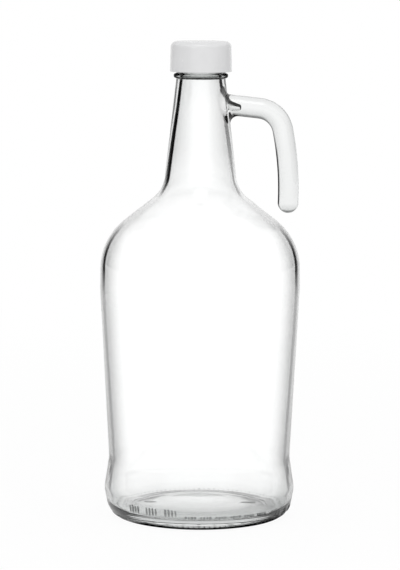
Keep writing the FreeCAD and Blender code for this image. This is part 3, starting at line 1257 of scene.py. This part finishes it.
class RingOfMarks(MeshMaker):
    """Sets small rounded marks round the jug in groups."""

    NAME = "ring_of_marks"
    SIZES = {"Count": Kind.COUNT, "Group": Kind.COUNT, "Gap": Kind.COUNT, "Seed": Kind.COUNT,
             "First": Kind.ANGLE, "Last": Kind.ANGLE, "Lean": Kind.ANGLE,
             "Radius": Kind.LENGTH, "Height": Kind.LENGTH, "Width": Kind.LENGTH,
             "Length": Kind.LENGTH, "Proud": Kind.LENGTH}

    def _form(self, graph: Graph, given: dict[str, Socket]) -> Node:
        """Lay points round the axis, leave some out, and put a bead on each.

        Args:
            graph: the tree's graph.
            given: the tree's inputs.

        Returns:
            The node that ends with the form.
        """
        index = graph.value("GeometryNodeInputIndex")
        share = index / (given["Count"] - 1)
        angle = given["First"] + (given["Last"] - given["First"]) * share
        place = graph.around(given["Radius"], angle, given["Height"])
        points = graph.add("GeometryNodePoints", None,
                           {"Count": given["Count"], "Position": place})
        missing = (index % given["Group"]).above(given["Group"] - given["Gap"] - 0.5)
        kept = graph.add("GeometryNodeDeleteGeometry", {"domain": "POINT"},
                         {"Geometry": points, "Selection": missing})
        turn = graph.add("ShaderNodeCombineXYZ", None,
                         {"X": 0.0, "Y": given["Lean"], "Z": angle})
        vary = graph.value("FunctionNodeRandomValue", 1, {"data_type": "FLOAT"},
                           {2: 0.8, 3: 1.15, "Seed": given["Seed"]})
        size = graph.add("ShaderNodeCombineXYZ", None,
                         {"X": given["Proud"], "Y": given["Width"] * 0.5 * vary,
                          "Z": given["Length"] * 0.5 * vary})
        bead = graph.add("GeometryNodeMeshUVSphere", None,
                         {"Segments": 8, "Rings": 6, "Radius": 1.0})
        return graph.add("GeometryNodeInstanceOnPoints", None,
                         {"Points": kept, "Instance": bead, "Rotation": turn, "Scale": size})

    def make(self, name: str, material: Material, **sizes: float) -> Object:
        """Make one ring of marks.

        Args:
            name: the piece's name.
            material: the finish.
            **sizes: the tree's inputs, lengths in mm and angles in degrees.

        Returns:
            The piece, riding on the jug.
        """
        mesh = self.run(name, bpy.data.meshes.new(name + "_maker"), material, sizes)
        # Each mark takes painted shade: a dark rim and a deep tint.
        for label, level in (("outer_edge", 1.4), ("glass_tint_and_shade", 0.8)):
            mesh.attributes.new(label, "FLOAT", "POINT").data.foreach_set(
                "value", [level] * len(mesh.vertices))
        piece = show(name, mesh)
        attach(piece, "root")
        return piece


# ---------------------------------------------------------------- the cap

@dataclass
class ScrewCap:
    """The screw cap with a thread inside its skirt."""

    turner: TurnedForm
    inside: float = 16.2
    skirt_wall: float = 1.7
    taper: float = 0.4
    crown_round: float = 3.4
    inner_round: float = 1.2
    rim_round: float = 0.35
    top_wall: float = 2.0
    plain_top: float = 1.6
    plain_rim: float = 1.0
    steps: Triple = (1.2, 0.4, 0.9)

    def build(self, material: Material) -> Object:
        """Make the piece.

        Args:
            material: the plastic.

        Returns:
            The piece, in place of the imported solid.
        """
        low, high = (corner[2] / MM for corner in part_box("cap"))
        ceiling = high - self.top_wall
        outside = self.inside + self.skirt_wall
        top = Corner(self.inside, ceiling - self.plain_top)
        bottom = Corner(self.inside, low + self.plain_rim)
        parts = [smooth_outline(corners, step) for corners, step in zip((
            [Corner(0, ceiling), Corner(self.inside, ceiling, self.inner_round), top],
            [top, bottom],
            [bottom, Corner(self.inside, low, self.rim_round),
             Corner(outside, low, self.rim_round),
             Corner(outside - self.taper, high, self.crown_round), Corner(0, high)]),
            self.steps)]
        mesh = self.turner.make(
            "screw_cap", np.concatenate([parts[0], parts[1][1:], parts[2][1:]]), material,
            Segments=128, Thread_Radius=self.inside, Thread_Depth=-0.85, Thread_Width=2.2,
            Thread_Pitch=4.2, Thread_Start=low + 4.4, Thread_Turns=1.7)
        form = bmesh.new()
        form.from_mesh(mesh)
        settle(form, mesh)
        piece = show("screw_cap", mesh)
        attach(piece, "root")
        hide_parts("cap")
        return piece


# ---------------------------------------------------------------- the studio

@dataclass
class Studio:
    """The white sweep, the soft lamps, the pale world and the camera."""

    distance: float = 1.6117
    height: float = 0.3370
    pitch: float = 7.12755
    roll: float = 0.25
    lens: float = 175.77
    key_place: Triple = (-1.2, -1.4, 1.05)
    key_size: float = 1.2
    fill_place: Triple = (1.4, -1.1, 0.95)
    fill_size: float = 1.4
    aim: Triple = (0.0, 0.0, 0.14)
    floor_size: float = 6.0
    floor_drop: float = 0.0002
    ambient: float = 0.80
    ceiling_rise: Pair = (0.42, 0.70)
    ceiling_light: float = 0.30
    mirrored_light: float = 0.10
    mirrored_wall: Pair = (0.42, 0.74)
    mirrored_sky: float = 1.5
    mirrored_rise: Pair = (0.2, 0.6)
    window_way: Pair = (0.85, 0.53)
    window_edge: Pair = (0.955, 0.978)
    window_light: float = 2.2
    bent_gain: float = 0.14

    def build(self) -> None:
        """Set up everything around the jug."""
        self._floor()
        self._world()
        self._lamp("key_softbox", self.key_place, self.key_size, Strength.KEY)
        self._lamp("fill_softbox", self.fill_place, self.fill_size, Strength.FILL)
        self._camera()

    def _floor(self) -> None:
        """Lay the floor."""
        half = self.floor_size / 2
        mesh = bpy.data.meshes.new("floor")
        mesh.from_pydata([(-half, -half, 0), (half, -half, 0), (half, half, 0),
                          (-half, half, 0)], [], [(0, 1, 2, 3)])
        mesh.materials.append(PaleFloor().material())
        floor = bpy.data.objects.new("floor", mesh)
        bpy.context.collection.objects.link(floor)
        floor.location.z = -self.floor_drop

    def _world(self) -> None:
        """Light the room, and show white behind the jug."""
        world = bpy.data.worlds.new("pale_room")
        world.use_nodes = True
        bpy.context.scene.world = world
        graph = Graph(world.node_tree)
        _, ahead, rise = graph.split(graph.add("ShaderNodeTexCoord").outputs["Generated"])
        camera, glossy, bent = graph.path("Is Camera Ray", "Is Glossy Ray",
                                          "Is Transmission Ray")
        ceiling = rise.ramp(*self.ceiling_rise, 1.0, self.ceiling_light)
        walls = (ahead * ahead).ramp(*self.mirrored_wall, self.mirrored_light, 1.0)
        window = rise * self.window_way[0] - ahead * self.window_way[1]
        window = window.ramp(*self.window_edge, 0.0, self.window_light)
        mirrored = walls.most(rise.ramp(*self.mirrored_rise, 0.0, self.mirrored_sky)) + window
        mirror = glossy * (1 - bent)
        light = (ceiling.most(mirror) * (1 - mirror * (1 - mirrored))
                 * (1 + bent * self.bent_gain)).most(camera)
        room = graph.add("ShaderNodeBackground", None,
                         {"Color": WHITE, "Strength": self.ambient})
        white = graph.add("ShaderNodeBackground", None, {"Color": WHITE, "Strength": light})
        graph.add("ShaderNodeOutputWorld", None,
                  {"Surface": graph.mixed(graph.seen(), room, white)})

    def _lamp(self, name: str, place: Triple, size: float,
              strength: Strength) -> None:
        """Hang a softbox that points at the jug.

        Args:
            name: the lamp's name.
            place: where it hangs, in metres.
            size: its side, in metres.
            strength: how strongly it shines.
        """
        lamp = bpy.data.lights.new(name, "AREA")
        lamp.shape, lamp.size, lamp.energy = "SQUARE", size, strength.value
        holder = bpy.data.objects.new(name, lamp)
        bpy.context.collection.objects.link(holder)
        holder.location = place
        aim = Vector(self.aim) - Vector(place)
        holder.rotation_euler = aim.to_track_quat("-Z", "Y").to_euler()
        holder.visible_glossy = False
        holder.visible_transmission = False

    def _camera(self) -> None:
        """Place the camera in front of the jug, a little above its middle."""
        lens = bpy.data.cameras.new("camera")
        lens.lens, lens.sensor_width, lens.sensor_fit = self.lens, 36.0, "AUTO"
        camera = bpy.data.objects.new("camera", lens)
        bpy.context.collection.objects.link(camera)
        tilt = Euler((math.radians(90 - self.pitch), 0, 0)).to_matrix()
        roll = Matrix.Rotation(math.radians(self.roll), 3, "Z")
        camera.location = (0.0, -self.distance, self.height)
        camera.rotation_euler = (tilt @ roll).to_euler()
        bpy.context.scene.camera = camera


def main() -> None:
    """Build the studio, the glass and the cap."""
    logging.basicConfig(level=logging.INFO, format="%(name)s: %(message)s")
    bpy.context.scene.view_settings.view_transform = "Standard"
    Studio().build()
    turner = TurnedForm()
    glass = ClearGlass().material()
    marks = RingOfMarks()
    for piece in (GlassJug(turner).build(glass),
                  ScrewCap(turner).build(WhitePlastic().material()),
                  marks.make("bearing_knurls", glass, Count=104, Group=104, Gap=0, Seed=3,
                             First=0, Last=356.54, Lean=46, Radius=50.75, Height=2.15,
                             Width=0.9, Length=1.7, Proud=0.32),
                  marks.make("foot_bars", glass, Count=18, Group=6, Gap=2, Seed=5,
                             First=-136, Last=-100, Lean=10.7, Radius=54.72, Height=10.5,
                             Width=1.3, Length=4.6, Proud=0.4),
                  marks.make("foot_dots", glass, Count=30, Group=5, Gap=1, Seed=9,
                             First=-98, Last=-44, Lean=10.7, Radius=54.3, Height=8.2,
                             Width=1.3, Length=1.6, Proud=0.4),
                  marks.make("foot_ticks", glass, Count=9, Group=3, Gap=1, Seed=2,
                             First=-34, Last=-6, Lean=24, Radius=53.3, Height=5.6,
                             Width=1.3, Length=4.4, Proud=0.4),
                  marks.make("seam_marks", glass, Count=2, Group=2, Gap=0, Seed=4,
                             First=-4, Last=184, Lean=87, Radius=28.5, Height=3.15,
                             Width=9.0, Length=9.0, Proud=0.35)):
        LOG.info("%s: %d vertices, %d faces", piece.name, len(piece.data.vertices),
                 len(piece.data.polygons))


if __name__ == "__main__":
    main()
